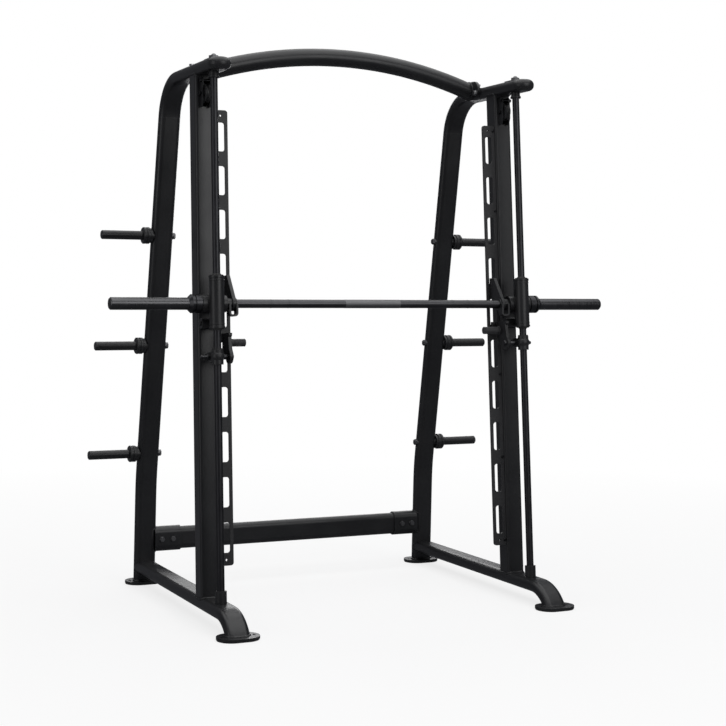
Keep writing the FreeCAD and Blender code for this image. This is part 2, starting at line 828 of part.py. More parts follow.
def lock_hook_shape():
    """Flat hook that turns with the bar, with a stirrup under it. Its nose faces the racking plate."""
    reach = rack_front - hook_clearance - bar_back
    lobe = rod_x(hook_inner, hook_outer, bar_back, bar_height, 60)
    outline = [(-29, 8), (44, 118), (reach, 118), (reach, 40), (50, 0), (27, -13)]
    arm = extruded_yz([(bar_back + y, bar_height + z) for y, z in outline], hook_inner, hook_outer)
    nose = box(nose_inner, nose_outer, bar_back + reach - 14, bar_back + reach,
               bar_height + 76, bar_height + 118)
    hub = rod_x(stirrup_inner, barrel_inner - 2, bar_back, bar_height, 46)
    bore = rod_x(stirrup_inner - 1, barrel_inner, bar_back, bar_height, bar_diameter)
    return on_mast(joined([lobe, arm, nose, hub, stirrup()]).cut(bore))


def stirrup():
    """Folded strip in the shape of a U that hangs from the hook's hub."""
    wide = stirrup_outer - stirrup_inner
    strip = tube_face(wide, 2 * stirrup_drop, stirrup_corner, stirrup_wall)
    strip = strip.common(box(-wide, wide, -2 * stirrup_drop, 0, -1, 1)).Faces[0]
    fold = strip.extrude(V(0, 0, stirrup_back - stirrup_front))
    fold.rotate(ORIGIN, X_AXIS, 90)
    fold.translate(V((stirrup_inner + stirrup_outer) / 2, bar_back + stirrup_back, bar_height))
    return fold


# ---------------------------------------------------------------- safety stops

def stop_block_shape(z):
    """Block on the guide rod that carries the cross shaft behind the rod."""
    body = rod_z(frame_half_spacing, 0, z - stop_half_height, z + stop_half_height - bumper_thick,
                 stop_diameter)
    half = stop_diameter / 2
    ball = Part.makeSphere(stop_ball_diameter / 2, V(frame_half_spacing, 0, z))
    bridge = box(frame_half_spacing - half, frame_half_spacing + half, 0, shaft_back, z - 19, z + 19)
    boss = rod_x(frame_half_spacing - half, frame_half_spacing + half, shaft_back, z, 38)
    rod_bore = rod_z(frame_half_spacing, 0, z - 50, z + 50, rod_diameter + 2 * fit_gap)
    shaft_bore = rod_x(frame_half_spacing - half - 1, frame_half_spacing + half + 1, shaft_back, z,
                       shaft_diameter + 2 * fit_gap)
    return on_mast(joined([body, ball, bridge, boss]).cut([rod_bore, shaft_bore]))


def stop_bumper_shape(z):
    top = z + stop_half_height
    ring = rod_z(frame_half_spacing, 0, top - bumper_thick, top, stop_diameter - 2)
    bore = rod_z(frame_half_spacing, 0, top - bumper_thick - 1, top + 1, rod_diameter + 1)
    return on_mast(ring.cut(bore))


def stop_shaft_shape(z):
    shaft = rod_x(shaft_inner, shaft_outer, shaft_back, z, shaft_diameter)
    tip = rod_x(shaft_outer, shaft_outer + 14, shaft_back, z, shaft_diameter - 8)
    return on_mast(joined([shaft, tip]))


def stop_lever_shape(z):
    """Flat lever that turns with the shaft. Its wide nose faces the racking plate."""
    reach = rack_front - hook_clearance - shaft_back
    lobe = rod_x(lever_inner, lever_outer, shaft_back, z, lever_lobe_diameter)
    outline = [
        (-26, 8), (-14, 30), (-8, 60), (-6, 78), (-14, 84), (-14, 94), (reach, 94), (reach, 64),
        (66, 60), (66, 20), (34, -10),
    ]
    nose = box(nose_inner, nose_outer, shaft_back + reach - 14, shaft_back + reach, z + 64, z + 94)
    arm = extruded_yz([(shaft_back + y, z + dz) for y, dz in outline], lever_inner, lever_outer)
    bore = rod_x(lever_inner - 1, lever_outer + 1, shaft_back, z, shaft_diameter)
    return on_mast(joined([lobe, arm, nose]).cut(bore))


def stop_handle_shape(z):
    """Grip with a flange beside the lever and a rounded edge at its end."""
    length = lever_inner - handle_end
    radius = handle_radius
    points = [(0, 0)]
    for step in range(7):
        angle = math.radians(15 * step)
        back = handle_corner * (1 - math.cos(angle))
        points.append((back, radius - handle_corner + handle_corner * math.sin(angle)))
    points += [
        (length - 12, radius), (length - 10, radius - 2), (length - 6, radius - 2),
        (length - 6, radius + 3), (length, radius + 3), (length, 0),
    ]
    return on_mast(turned(points, handle_end, shaft_back + handle_back, z + handle_up))


# ---------------------------------------------------------------- build

os.makedirs("parts", exist_ok=True)

base_solid = base_tube_shape(0)
leg_solid = rear_leg_shape(0)
top_solid = top_tube_shape(0)

save_sides("base_tube", [largest(base_tube_shape(tube_wall).cut(leg_solid))])
save_sides("rear_leg", [rear_leg_shape(tube_wall)])
save_sides("top_tube", [top_tube_shape(tube_wall)])
save_sides("upright", [largest(upright_shape().cut([base_solid, top_solid]))])
save_sides("racking_plate", [racking_plate_shape()])
save_sides("guide_rod", [largest(guide_rod_shape().cut([base_solid, top_solid]))])
save_both("plate_lugs", plate_lugs())
save_both("plate_bolts", plate_bolts())
save_both("rod_collars", rod_collars(base_solid, top_solid))
save_both("rod_caps", rod_caps())
save_both("foot_plates", foot_plates())
save_both("foot_pads", foot_pads())

save_both("weight_horns", weight_horns(leg_solid))
save_both("horn_collars", horn_collars(leg_solid))
save_both("horn_bolts", horn_bolts(leg_solid))
save("rear_beam", [rear_beam_shape()])
save_sides("beam_socket", [beam_socket_shape(leg_solid)])
save_both("beam_bolts", beam_bolts())
save("arch_tube", [arch_tube_shape()])
save_both("arch_flanges", [arch_flange_shape(top_solid)])
save_both("arch_bolts", arch_bolts(top_solid))

save_sides("pulley", [pulley_shape()])
save_sides("pulley_bracket", pulley_bracket())
save_both("pulley_bolts", pulley_bolts())
save_sides("counterweight", [counterweight_shape()])

save_sides("carriage_housing", [housing_shape()])
save_sides("linear_bearings", linear_bearings())
save_sides("bar_bearings", bar_bearings())
save_sides("cable_anchor", [cable_anchor_shape()])

save("bar", [bar_shape()])
save_sides("sleeve", [sleeve_shape()])
save_sides("bar_shoulder", [shoulder_shape()])
save_sides("lock_hook", [lock_hook_shape()])

for side, height in stop_heights.items():
    save("stop_block_" + side, [handed(stop_block_shape(height), side)])
    save("stop_bumper_" + side, [handed(stop_bumper_shape(height), side)])
    save("stop_shaft_" + side, [handed(stop_shaft_shape(height), side)])
    save("stop_lever_" + side, [handed(stop_lever_shape(height), side)])
    save("stop_handle_" + side, [handed(stop_handle_shape(height), side)])
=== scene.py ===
"""Smith machine: the looks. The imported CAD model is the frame, in metres, +Z up, and every piece here is
placed from it. +X is to the user's right and +Y to the rear."""

import json
import math
import random

import bmesh
import bpy
from mathutils import Matrix, Vector
from mathutils.bvhtree import BVHTree


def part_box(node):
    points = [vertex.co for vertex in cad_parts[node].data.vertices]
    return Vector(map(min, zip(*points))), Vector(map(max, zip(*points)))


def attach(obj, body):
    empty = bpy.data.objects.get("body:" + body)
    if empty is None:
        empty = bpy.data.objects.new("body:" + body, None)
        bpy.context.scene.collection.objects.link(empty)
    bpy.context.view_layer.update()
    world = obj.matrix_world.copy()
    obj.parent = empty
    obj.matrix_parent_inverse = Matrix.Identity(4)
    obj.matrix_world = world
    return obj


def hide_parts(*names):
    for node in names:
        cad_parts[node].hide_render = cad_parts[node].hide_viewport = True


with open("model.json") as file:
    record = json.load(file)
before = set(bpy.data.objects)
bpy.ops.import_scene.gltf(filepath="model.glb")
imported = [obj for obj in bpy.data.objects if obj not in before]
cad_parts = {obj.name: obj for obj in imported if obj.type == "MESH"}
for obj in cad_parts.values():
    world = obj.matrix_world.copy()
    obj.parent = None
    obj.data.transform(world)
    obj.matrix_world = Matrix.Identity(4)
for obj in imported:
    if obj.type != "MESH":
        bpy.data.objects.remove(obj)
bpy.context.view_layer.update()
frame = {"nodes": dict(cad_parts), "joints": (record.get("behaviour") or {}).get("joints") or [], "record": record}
nodes = frame["nodes"]
record = frame["record"]
SIDES = {"left": -1, "right": 1}

X_AXIS = Vector((1, 0, 0))
Y_AXIS = Vector((0, 1, 0))
Z_AXIS = Vector((0, 0, 1))


# ---------------------------------------------------------------- places taken from the frame

def joint(name):
    """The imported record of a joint."""
    return next(j for j in frame["joints"] if j["name"] == name)


def middle(node):
    """The centre of a CAD node's box."""
    low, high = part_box(node)
    return (low + high) / 2


mast_up = Vector(joint("carriage_slide")["axis"]).normalized()
mast_back = X_AXIS.cross(mast_up) * -1
bar_point = Vector(joint("bar_turn")["pos_m"])


# ---------------------------------------------------------------- materials

BEVEL_SAMPLES = 6


class Surface:
    """A Principled material in the making, with short calls for the nodes that vary it."""

    def __init__(self, name, colour, roughness, metallic=0.0, specular=0.5):
        self.material = bpy.data.materials.new(name)
        self.material.use_nodes = True
        self.tree = self.material.node_tree
        self.shader = self.tree.nodes["Principled BSDF"]
        self.shader.inputs["Base Color"].default_value = (*colour, 1)
        self.shader.inputs["Roughness"].default_value = roughness
        self.shader.inputs["Metallic"].default_value = metallic
        self.shader.inputs["Specular IOR Level"].default_value = specular
        self.place = self.node("ShaderNodeTexCoord").outputs["Object"]

    def node(self, kind, inputs=None, **settings):
        """A new node, with each input set to a value or linked to a socket."""
        made = self.tree.nodes.new(kind)
        for key, value in settings.items():
            setattr(made, key, value)
        for key, value in (inputs or {}).items():
            if isinstance(value, bpy.types.NodeSocket):
                self.tree.links.new(value, made.inputs[key])
            else:
                made.inputs[key].default_value = value
        return made

    def noise(self, scale, detail=3.0, stretch=None):
        """Noise in 0 to 1 with features about 1 / scale metres across."""
        place = self.place
        if stretch:
            place = self.node("ShaderNodeMapping", {"Vector": place, "Scale": stretch}).outputs["Vector"]
        inputs = {"Vector": place, "Scale": scale, "Detail": detail}
        return self.node("ShaderNodeTexNoise", inputs).outputs["Fac"]

    def between(self, value, low, high, to_low=0.0, to_high=1.0):
        """value rescaled from low..high to to_low..to_high, and held within them."""
        inputs = {"Value": value, "From Min": low, "From Max": high, "To Min": to_low, "To Max": to_high}
        return self.node("ShaderNodeMapRange", inputs).outputs["Result"]

    def sums(self, operation, a, b):
        """The two values put together by a math operation."""
        return self.node("ShaderNodeMath", {0: a, 1: b}, operation=operation).outputs[0]

    def blend(self, share, first, second):
        """A colour between first and second."""
        colours = {6: first, 7: second}
        inputs = {0: share}
        for key, value in colours.items():
            inputs[key] = value if isinstance(value, bpy.types.NodeSocket) else (*value, 1)
        return self.node("ShaderNodeMix", inputs, data_type="RGBA").outputs[2]

    def edges(self, radius):
        """1 on convex and concave edges and 0 on flat ground."""
        rounded = self.node("ShaderNodeBevel", {"Radius": radius}, samples=BEVEL_SAMPLES).outputs["Normal"]
        flat = self.node("ShaderNodeNewGeometry").outputs["Normal"]
        facing = self.node("ShaderNodeVectorMath", {0: rounded, 1: flat}, operation="DOT_PRODUCT")
        return self.between(facing.outputs["Value"], 0.99, 0.8)

    def finish(self, colour=None, roughness=None, height=None, depth=0.0002, bevel=0.0):
        """The material, with what varies over it linked to its shader."""
        links = self.tree.links
        if colour is not None:
            links.new(colour, self.shader.inputs["Base Color"])
        if roughness is not None:
            links.new(roughness, self.shader.inputs["Roughness"])
        normal = None
        if bevel:
            normal = self.node("ShaderNodeBevel", {"Radius": bevel}, samples=BEVEL_SAMPLES).outputs["Normal"]
        if height is not None:
            bump = self.node("ShaderNodeBump", {"Height": height, "Distance": depth, "Strength": 1.0})
            if normal is not None:
                links.new(normal, bump.inputs["Normal"])
            normal = bump.outputs["Normal"]
        if normal is not None:
            links.new(normal, self.shader.inputs["Normal"])
        return self.material


def coat(name, dark, pale, worn, roughness, grain, depth, bevel=0.0015):
    """Powder coat: fine orange peel, faint cloudy dust and slightly rubbed edges."""
    made = Surface(name, dark, roughness)
    cloud = made.between(made.noise(5.0, 4.0), 0.35, 0.7)
    speck = made.between(made.noise(grain * 0.6, 2.0), 0.55, 0.75)
    colour = made.blend(cloud, dark, pale)
    colour = made.blend(made.sums("MULTIPLY", speck, 0.35), colour, worn)
    rubbed = made.sums("MULTIPLY", made.edges(0.0025), made.between(made.noise(60.0, 5.0), 0.4, 0.7))
    colour = made.blend(made.sums("MULTIPLY", rubbed, 0.7), colour, worn)
    dull = made.sums("ADD", made.between(cloud, 0, 1, roughness - 0.04, roughness + 0.06),
                     made.sums("MULTIPLY", rubbed, -0.1))
    peel = made.sums("ADD", made.noise(grain, 2.0), made.sums("MULTIPLY", made.noise(grain * 0.25, 1.0), 0.6))
    return made.finish(colour, dull, peel, depth, bevel)


def steel(name, dark, pale, roughness, stretch, depth=0.00004, bevel=0.0008, metallic=1.0):
    """Metal with fine tool marks that run round or along it, thin stains, and a painted highlight along its edges.
    """
    made = Surface(name, dark, roughness, metallic)
    marks = made.noise(220.0, 4.0, stretch)
    stain = made.between(made.noise(14.0, 5.0), 0.35, 0.75)
    colour = made.blend(made.sums("MULTIPLY", marks, made.between(stain, 0, 1, 0.5, 1)), dark, pale)
    # Painted highlight: every edge, convex and concave, is blended half way to the pale colour.
    colour = made.blend(made.sums("MULTIPLY", made.edges(0.0015), 0.5), colour, pale)
    dull = made.sums("ADD", made.between(marks, 0.3, 0.7, roughness - 0.06, roughness + 0.06),
                     made.between(stain, 0, 1, -0.03, 0.06))
    return made.finish(colour, dull, marks, depth, bevel)


def soft_plastic(name, dark, pale, roughness, grain, depth=0.0002):
    """Rubber or moulded plastic with a fine moulded grain, dusty patches, and paler edges: dust in the hollows and
    a painted highlight on the outer edges.
    """
    made = Surface(name, dark, roughness)
    dust = made.between(made.noise(35.0, 5.0), 0.4, 0.75)
    colour = made.blend(dust, dark, pale)
    # Paler along every edge: dust where the edge is a hollow, a painted highlight where it stands out.
    colour = made.blend(made.sums("MULTIPLY", made.edges(0.0015), 0.4), colour, pale)
    dull = made.between(dust, 0, 1, roughness - 0.05, roughness + 0.08)
    return made.finish(colour, dull, made.noise(grain, 3.0), depth, 0.0006)


frame_coat = coat(
    "frame_coat", (0.0075, 0.0078, 0.0088), (0.0105, 0.0108, 0.012), (0.035, 0.036, 0.04),
    0.36, 700.0, 0.0001,
)
rack_coat = coat(
    "rack_coat", (0.012, 0.012, 0.013), (0.02, 0.02, 0.0215), (0.06, 0.06, 0.064), 0.5, 420.0, 0.00035,
)
part_coat = coat(
    "part_coat", (0.008, 0.0082, 0.009), (0.012, 0.012, 0.013), (0.05, 0.05, 0.054), 0.40, 900.0, 0.00006,
)
rod_steel = steel("rod_steel", (0.035, 0.035, 0.038), (0.08, 0.08, 0.084), 0.42, (1, 1, 0.04))
bar_steel = steel("bar_steel", (0.06, 0.06, 0.063), (0.13, 0.13, 0.134), 0.36, (0.04, 1, 1))
knurl_steel = steel("knurl_steel", (0.16, 0.16, 0.165), (0.30, 0.30, 0.305), 0.55, (1, 1, 1), 0.00008)
sleeve_steel = steel("sleeve_steel", (0.07, 0.07, 0.073), (0.15, 0.15, 0.154), 0.32, (1, 0.06, 0.06))
shoulder_steel = steel("shoulder_steel", (0.04, 0.04, 0.043), (0.09, 0.09, 0.094), 0.34, (0.06, 1, 1))
shaft_steel = steel("shaft_steel", (0.055, 0.055, 0.058), (0.12, 0.12, 0.124), 0.36, (0.06, 1, 1))
zinc = steel("zinc", (0.30, 0.30, 0.31), (0.55, 0.55, 0.55), 0.36, (1, 1, 1), 0.00006)
dull_zinc = steel("dull_zinc", (0.10, 0.10, 0.105), (0.24, 0.24, 0.245), 0.45, (1, 1, 1), 0.00006)
black_oxide = steel("black_oxide", (0.02, 0.02, 0.022), (0.06, 0.06, 0.063), 0.42, (1, 1, 1), 0.00006)
bearing_steel = steel("bearing_steel", (0.35, 0.35, 0.36), (0.6, 0.6, 0.62), 0.25, (1, 1, 0.1))
weight_steel = steel("weight_steel", (0.12, 0.12, 0.125), (0.3, 0.29, 0.28), 0.5, (1, 1, 1))
rubber = soft_plastic("rubber", (0.010, 0.010, 0.010), (0.03, 0.03, 0.031), 0.7, 500.0)
grip_plastic = soft_plastic("grip_plastic", (0.022, 0.022, 0.024), (0.045, 0.045, 0.047), 0.42, 600.0)
wheel_plastic = soft_plastic("wheel_plastic", (0.012, 0.012, 0.013), (0.026, 0.026, 0.028), 0.45, 400.0)

SLOT_SURFACE = {
    "frame_black": frame_coat, "rack_grey": rack_coat, "guide_steel": rod_steel, "bar_steel": bar_steel,
    "moving_black": part_coat, "zinc_bolt": zinc, "rubber": rubber, "grip": grip_plastic,
    "wheel": wheel_plastic, "bearing_steel": bearing_steel, "weight_steel": weight_steel,
}
NODE_SURFACE = {
    "sleeve_left": sleeve_steel, "sleeve_right": sleeve_steel,
    "bar_shoulder_left": shoulder_steel, "bar_shoulder_right": shoulder_steel,
    "stop_shaft_left": shaft_steel, "stop_shaft_right": shaft_steel,
    "plate_bolts": black_oxide, "pulley_bolts": black_oxide, "horn_bolts": dull_zinc,
    "beam_bolts": dull_zinc, "rod_caps": dull_zinc,
}

slot_of_node = {part["node"]: part["material_slot"] for part in record["subparts"]}

for name, cad_object in nodes.items():
    surface = NODE_SURFACE.get(name, SLOT_SURFACE[slot_of_node[name]])
    for material_slot in cad_object.material_slots:
        material_slot.material = surface


# ---------------------------------------------------------------- mesh tools

def piece(name, mesh, surface, body, smooth=40.0):
    """A finished piece that rides on a CAD body."""
    made = bpy.data.objects.new(name, mesh)
    bpy.context.scene.collection.objects.link(made)
    mesh.materials.append(surface)
    for face in mesh.polygons:
        face.use_smooth = True
    mesh.set_sharp_from_angle(angle=math.radians(smooth))
    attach(made, body)
    return made


def tube_mesh(name, rings, looped=False):
    """A skin over rings of points, closed by a face at each end, or by its first ring if it is looped."""
    mesh = bpy.data.meshes.new(name)
    build = bmesh.new()
    rows = [[build.verts.new(point) for point in ring] for ring in rings]
    count = len(rows[0])
    following = rows[1:] + rows[:1] if looped else rows[1:]
    for near, far in zip(rows, following):
        for k in range(count):
            after = (k + 1) % count
            build.faces.new((near[k], near[after], far[after], far[k]))
    if not looped:
        build.faces.new(list(reversed(rows[0])))
        build.faces.new(rows[-1])
    bmesh.ops.recalc_face_normals(build, faces=build.faces)
    build.to_mesh(mesh)
    build.free()
    return mesh


def turns(steps):
    """Evenly spaced angles round a circle."""
    return [2 * math.pi * k / steps for k in range(steps)]


def frame_about(axis):
    """Two directions square to axis."""
    side = axis.orthogonal().normalized()
    return side, axis.cross(side).normalized()


def lathe_mesh(name, centre, axis, profile, steps=48):
    """A turned piece: profile is (distance along axis, radius), and each end is closed by a flat face."""
    across, up = frame_about(axis)
    rings = []
    for distance, radius in profile:
        base = centre + axis * distance
        rings.append([base + (across * math.cos(t) + up * math.sin(t)) * radius for t in turns(steps)])
    return tube_mesh(name, rings)


def ring_mesh(name, centre, axis, profile, steps=48):
    """A turned ring: profile is a closed loop of (distance along axis, radius) that stays off the axis."""
    across, up = frame_about(axis)
    rings = []
    for turn in turns(steps):
        out = across * math.cos(turn) + up * math.sin(turn)
        rings.append([centre + axis * distance + out * radius for distance, radius in profile])
    return tube_mesh(name, rings, looped=True)


def span(node, direction):
    """How far a CAD node reaches along a direction, as its lowest and highest value."""
    values = [vertex.co.dot(direction) for vertex in nodes[node].data.vertices]
    return min(values), max(values)


trees = {}


def surface_tree(node):
    """A CAD node's faces, ready for rays to be cast at them."""
    if node not in trees:
        mesh = nodes[node].data
        trees[node] = BVHTree.FromPolygons(
            [v.co.copy() for v in mesh.vertices], [tuple(p.vertices) for p in mesh.polygons]
        )
    return trees[node]


SAME_POINT = 0.00002


def outline(node, point, normal):
    """The outer loop where a plane cuts a CAD node."""
    build = bmesh.new()
    build.from_mesh(nodes[node].data)
    bmesh.ops.remove_doubles(build, verts=build.verts, dist=SAME_POINT)
    everything = build.verts[:] + build.edges[:] + build.faces[:]
    cut = bmesh.ops.bisect_plane(build, geom=everything, plane_co=point, plane_no=normal)["geom_cut"]
    edges = [g for g in cut if isinstance(g, bmesh.types.BMEdge)]
    links = {}
    for edge in edges:
        for here, there in (edge.verts, reversed(edge.verts)):
            links.setdefault(here, []).append(there)
    loops = []
    left = dict.fromkeys(links)
    while left:
        here = next(iter(left))
        loop = []
        while here is not None:
            loop.append(here.co.copy())
            left.pop(here, None)
            here = next((v for v in links[here] if v in left), None)
        loops.append(loop)
    build.free()

    def spread(loop):
        centre = sum(loop, Vector()) / len(loop)
        return sum((p - centre).length for p in loop) / len(loop)

    return max(loops, key=spread)


def evened(loop, step):
    """The closed loop again, with points a step apart."""
    spans = [(b - a).length for a, b in zip(loop, loop[1:] + loop[:1])]
    total = sum(spans)
    count = max(12, round(total / step))
    points = []
    k = 0
    walked = 0.0
    for n in range(count):
        target = total * n / count
        while walked + spans[k] < target:
            walked += spans[k]
            k += 1
        share = (target - walked) / max(spans[k], 1e-9)
        points.append(loop[k].lerp(loop[(k + 1) % len(loop)], share))
    return points


# ---------------------------------------------------------------- welds

BEAD_RADIUS = 0.0042
SOCKET_BEAD_RADIUS = 0.0028
ARCH_BEAD_RADIUS = 0.0036
BEAD_STEP = 0.0011
BEAD_RIPPLE = 0.0042
BEAD_SIDES = 12
BEAD_UNEVEN = 0.10
SWELL_WAVES = 9
DROP_FROM = 0.004
DROP_REACH = 0.06
DROP_OUTSIDE = 0.0006
CUT_ABOVE = 0.004
CUT_BEFORE_END = 0.012
SOCKET_CUT = 0.006
FLANGE_CUT = 0.002


def weld_bead(name, loop, toward, target, radius=BEAD_RADIUS):
    """A rippled bead along a loop of points, dropped along toward on to the CAD node it is welded to."""
    tree = surface_tree(target)
    points = evened(loop, BEAD_STEP)
    centre = sum(points, Vector()) / len(points)
    landed = []
    for point in points:
        outward = point - centre
        outward -= toward * outward.dot(toward)
        outward.normalize()
        hit = tree.ray_cast(point + outward * DROP_OUTSIDE - toward * DROP_FROM, toward, DROP_REACH)[0]
        landed.append((hit, outward) if hit else None)
    kept = [spot for spot in landed if spot]
    draw = random.Random(name)
    swell = [draw.uniform(-BEAD_UNEVEN, BEAD_UNEVEN) for _ in range(SWELL_WAVES)]
    rings = []
    count = len(kept)
    for k, (place, outward) in enumerate(kept):
        after = kept[(k + 1) % count][0]
        before = kept[k - 1][0]
        along = (after - before).normalized()
        side = (outward - along * outward.dot(along)).normalized()
        up = along.cross(side)
        turn = 2 * math.pi * k / count
        slow = sum(s * math.sin((n + 1) * turn + n) for n, s in enumerate(swell)) * 0.5
        ripple = (k * BEAD_STEP / BEAD_RIPPLE) % 1
        size = radius * (1 + slow + BEAD_UNEVEN * math.sqrt(1 - ripple))
        rings.append([place + (side * math.cos(a) + up * math.sin(a)) * size for a in turns(BEAD_SIDES)])
    piece(name, tube_mesh(name, rings, looped=True), frame_coat, "frame", smooth=70.0)


def side_welds(side):
    """The welds of one side frame."""
    sign = SIDES[side]
    base_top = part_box("base_tube_" + side)[1].z
    top_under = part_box("upright_" + side)[1].z
    plate_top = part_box("foot_plates")[1].z
    leg = "rear_leg_" + side
    inner_face = min(abs(corner.x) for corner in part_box(leg)) * sign
    flange_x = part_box("arch_tube")[1].x * sign
    base_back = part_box("base_tube_" + side)[1].y
    down = -Z_AXIS

    def level_cut(node, z):
        return outline(node, Vector((0, 0, z)), Z_AXIS)

    def side_cut(node, x):
        return outline(node, Vector((x, 0, 0)), X_AXIS)

    upright_foot = level_cut("upright_" + side, base_top + CUT_ABOVE)
    upright_head = level_cut("upright_" + side, top_under - CUT_BEFORE_END)
    leg_foot = level_cut(leg, plate_top + CUT_ABOVE)
    base_foot = level_cut("base_tube_" + side, plate_top + CUT_ABOVE)
    base_end = outline("base_tube_" + side, Vector((0, base_back - CUT_BEFORE_END, 0)), Y_AXIS)
    socket_end = side_cut("beam_socket_" + side, inner_face - sign * SOCKET_CUT)
    arch_end = side_cut("arch_tube", flange_x - sign * FLANGE_CUT)
    weld_bead("weld_upright_foot_" + side, upright_foot, down, "base_tube_" + side)
    weld_bead("weld_upright_head_" + side, upright_head, Z_AXIS, "top_tube_" + side)
    weld_bead("weld_leg_foot_" + side, leg_foot, down, "foot_plates")
    weld_bead("weld_base_foot_" + side, base_foot, down, "foot_plates")
    weld_bead("weld_base_leg_" + side, base_end, Y_AXIS, leg)
    weld_bead("weld_socket_" + side, socket_end, X_AXIS * sign, leg, SOCKET_BEAD_RADIUS)
    weld_bead("weld_arch_" + side, arch_end, X_AXIS * sign, "arch_flanges", ARCH_BEAD_RADIUS)


for side in SIDES:
    side_welds(side)


# ---------------------------------------------------------------- bar

bar_radius = (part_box("bar")[1].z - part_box("bar")[0].z) / 2
KNURL_LENGTH = 0.254
KNURL_PITCH = 0.0020
KNURL_DEPTH = 0.00035
KNURL_LIFT = 0.0001
RING_MARKS = (0.379, 0.455)
RING_WIDE = 0.0032
RING_PROUD = 0.0006


def centre_knurl():
    """Raised diamonds round the middle of the bar."""
    name = "knurl_centre"
    across, up = frame_about(X_AXIS)
    radius = bar_radius + KNURL_LIFT
    around = 4 * round(math.pi * radius / KNURL_PITCH)
    along = round(2 * KNURL_LENGTH / KNURL_PITCH)
    rings = []
    for i in range(along + 1):
        base = bar_point + X_AXIS * (KNURL_LENGTH * (i / along - 0.5))
        ring = []
        for k, turn in enumerate(turns(around)):
            raised = KNURL_DEPTH if (i + k) % 2 else 0.0
            if i in (0, along):
                raised = -KNURL_DEPTH
            ring.append(base + (across * math.cos(turn) + up * math.sin(turn)) * (radius + raised))
        rings.append(ring)
    piece(name, tube_mesh(name, rings), knurl_steel, "barbell")


def bar_rings(side):
    """Two raised rings on the bar that show where the hands go."""
    sign = SIDES[side]
    half = RING_WIDE / 2
    edge = bar_radius + RING_PROUD
    profile = [
        (-half, bar_radius - 0.001), (-half, bar_radius), (-half * 0.6, edge), (half * 0.6, edge),
        (half, bar_radius), (half, bar_radius - 0.001),
    ]
    for number, x in enumerate(RING_MARKS, 1):
        name = "bar_ring_%s_%d" % (side, number)
        place = bar_point + X_AXIS * (x * sign)
        piece(name, ring_mesh(name, place, X_AXIS, profile), shaft_steel, "barbell")


def sleeve_cap(side):
    """Pressed cap in the end of a loading sleeve, with a raised rim and a dished middle."""
    sign = SIDES[side]
    tip = max(abs(v) for v in span("sleeve_" + side, X_AXIS))
    low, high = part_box("sleeve_" + side)
    radius = (high.z - low.z) / 2
    rim = radius - 0.0035
    profile = [
        (-0.002, rim), (0.0006, rim), (0.0018, rim - 0.0008), (0.0024, rim - 0.0024), (0.0024, rim - 0.0045),
        (0.0010, rim - 0.0062), (0.0006, rim - 0.0080), (0.0006, 0.0068), (0.0012, 0.0060), (0.0012, 0.0004),
    ]
    name = "sleeve_cap_" + side
    place = Vector((tip * sign, bar_point.y, bar_point.z))
    piece(name, lathe_mesh(name, place, X_AXIS * sign, profile, 64), part_coat, "barbell")


centre_knurl()
for side in SIDES:
    bar_rings(side)
    sleeve_cap(side)


# ---------------------------------------------------------------- carriage

SEAL_THICK = 0.004
SEAL_LIP = 0.0045
BAND_FROM_END = 0.017


def housing_details(side):
    """Lipped rod seals in the housing's ends, and a retaining band near each end."""
    rod_centre = middle("linear_bearings_" + side)
    low, high = span("carriage_housing_" + side, mast_up)
    rod_radius = (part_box("guide_rod_" + side)[1].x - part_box("guide_rod_" + side)[0].x) / 2
    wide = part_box("linear_bearings_" + side)
    seal_radius = (wide[1].x - wide[0].x) / 2 + 0.005
    band_radius = seal_radius + 0.0036
    half = (high - low) / 2
    for word, sign in (("bottom", -1), ("top", 1)):
        face = rod_centre + mast_up * (half * sign)
        gap = rod_radius + 0.0005
        profile = [
            (-0.002, gap), (-0.002, seal_radius), (SEAL_THICK - 0.001, seal_radius),
            (SEAL_THICK, seal_radius - 0.001), (SEAL_THICK, gap + 0.0042),
            (SEAL_THICK + SEAL_LIP, gap + 0.0014), (SEAL_THICK + SEAL_LIP, gap),
        ]
        name = "rod_seal_%s_%s" % (word, side)
        piece(name, ring_mesh(name, face, mast_up * sign, profile, 64), rubber, "carriage")
        band = [
            (-0.0025, band_radius - 0.004), (-0.0025, band_radius - 0.0006), (-0.0018, band_radius),
            (0.0018, band_radius), (0.0025, band_radius - 0.0006), (0.0025, band_radius - 0.004),
        ]
        name = "housing_band_%s_%s" % (word, side)
        place = rod_centre + mast_up * ((half - BAND_FROM_END) * sign)
        piece(name, ring_mesh(name, place, mast_up, band, 64), part_coat, "carriage")


for side in SIDES:
    housing_details(side)


# ---------------------------------------------------------------- stop handles

FLANGE_PROUD = 0.003
RIB_PITCH = 0.0058
RIB_DEPTH = 0.0014
RIB_STEPS = 6
HANDLE_CORNER = 0.003
CORNER_STEPS = 7


